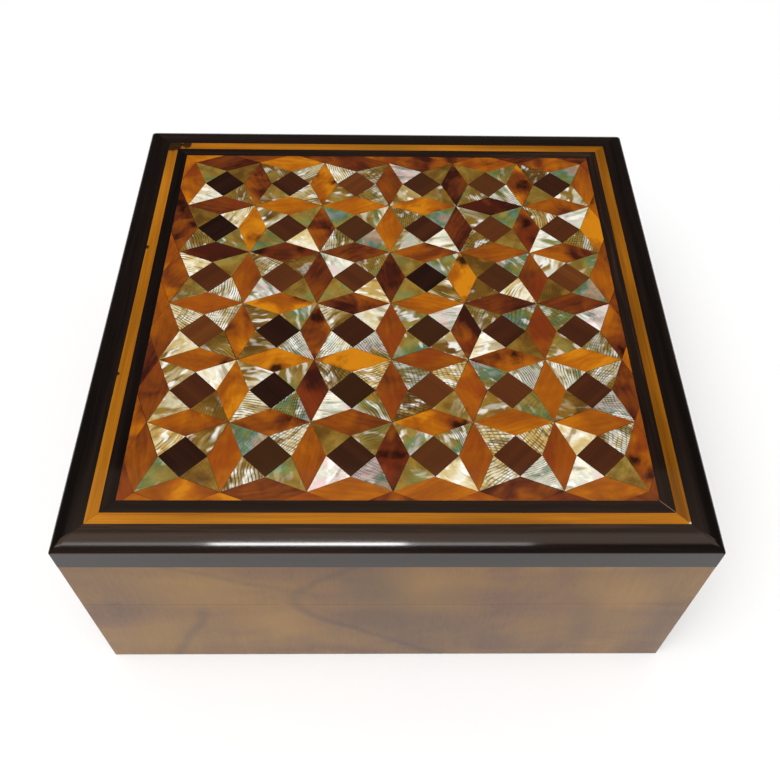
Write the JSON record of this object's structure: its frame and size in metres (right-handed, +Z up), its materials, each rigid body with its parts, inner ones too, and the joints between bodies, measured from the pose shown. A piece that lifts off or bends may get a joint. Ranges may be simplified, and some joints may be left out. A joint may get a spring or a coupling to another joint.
{
  "type": "shell-inlaid wooden box",
  "caption": "Square walnut jewellery box with a deep lift-off lid, its top inlaid with shell and wood stars inside a rounded ebony edging and two stringings.",
  "frame": {"origin": "centre of the underside, on the surface the box stands on", "axes": "+Z up, front towards -Y, +X to the right seen from the front"},
  "size_m": [0.25, 0.25, 0.1025],
  "materials": {
    "walnut": "figured walnut under clear gloss lacquer",
    "inner_wood": "plain sanded wood, unlacquered",
    "ebony": "near-black wood under clear gloss lacquer",
    "light_wood": "orange-yellow straight-grained wood under clear gloss lacquer",
    "dark_wood": "very dark wood under clear gloss lacquer",
    "lozenge_wood": "amber to red-brown burl with dark knots, under clear gloss lacquer",
    "square_wood": "dark chocolate to walnut brown wood under clear gloss lacquer",
    "shell": "iridescent green, silver and gold shell under clear gloss lacquer"
  },
  "bodies": {
    "root": {"body_wall_front": "walnut", "body_wall_right": "walnut", "body_wall_back": "walnut", "body_wall_left": "walnut", "body_bottom": "inner_wood", "lid_rim_front": "walnut", "lid_rim_right": "walnut", "lid_rim_back": "walnut", "lid_rim_left": "walnut", "lid_board": "inner_wood", "ebony_edging_front": "ebony", "ebony_edging_right": "ebony", "ebony_edging_back": "ebony", "ebony_edging_left": "ebony", "light_stringing_front": "light_wood", "light_stringing_right": "light_wood", "light_stringing_back": "light_wood", "light_stringing_left": "light_wood", "dark_stringing_front": "dark_wood", "dark_stringing_right": "dark_wood", "dark_stringing_back": "dark_wood", "dark_stringing_left": "dark_wood", "shell_stars": "shell", "wood_lozenges": "lozenge_wood", "dark_square_1_1": "square_wood", "dark_square_1_2": "square_wood", "dark_square_1_3": "square_wood", "dark_square_1_4": "square_wood", "dark_square_1_5": "square_wood", "dark_square_1_6": "square_wood", "dark_square_2_1": "square_wood", "dark_square_2_2": "square_wood", "dark_square_2_3": "square_wood", "dark_square_2_4": "square_wood", "dark_square_2_5": "square_wood", "dark_square_2_6": "square_wood", "dark_square_3_1": "square_wood", "dark_square_3_2": "square_wood", "dark_square_3_3": "square_wood", "dark_square_3_4": "square_wood", "dark_square_3_5": "square_wood", "dark_square_3_6": "square_wood", "dark_square_4_1": "square_wood", "dark_square_4_2": "square_wood", "dark_square_4_3": "square_wood", "dark_square_4_4": "square_wood", "dark_square_4_5": "square_wood", "dark_square_4_6": "square_wood", "dark_square_5_1": "square_wood", "dark_square_5_2": "square_wood", "dark_square_5_3": "square_wood", "dark_square_5_4": "square_wood", "dark_square_5_5": "square_wood", "dark_square_5_6": "square_wood", "dark_square_6_1": "square_wood", "dark_square_6_2": "square_wood", "dark_square_6_3": "square_wood", "dark_square_6_4": "square_wood", "dark_square_6_5": "square_wood", "dark_square_6_6": "square_wood"}
  },
  "joints": []
}
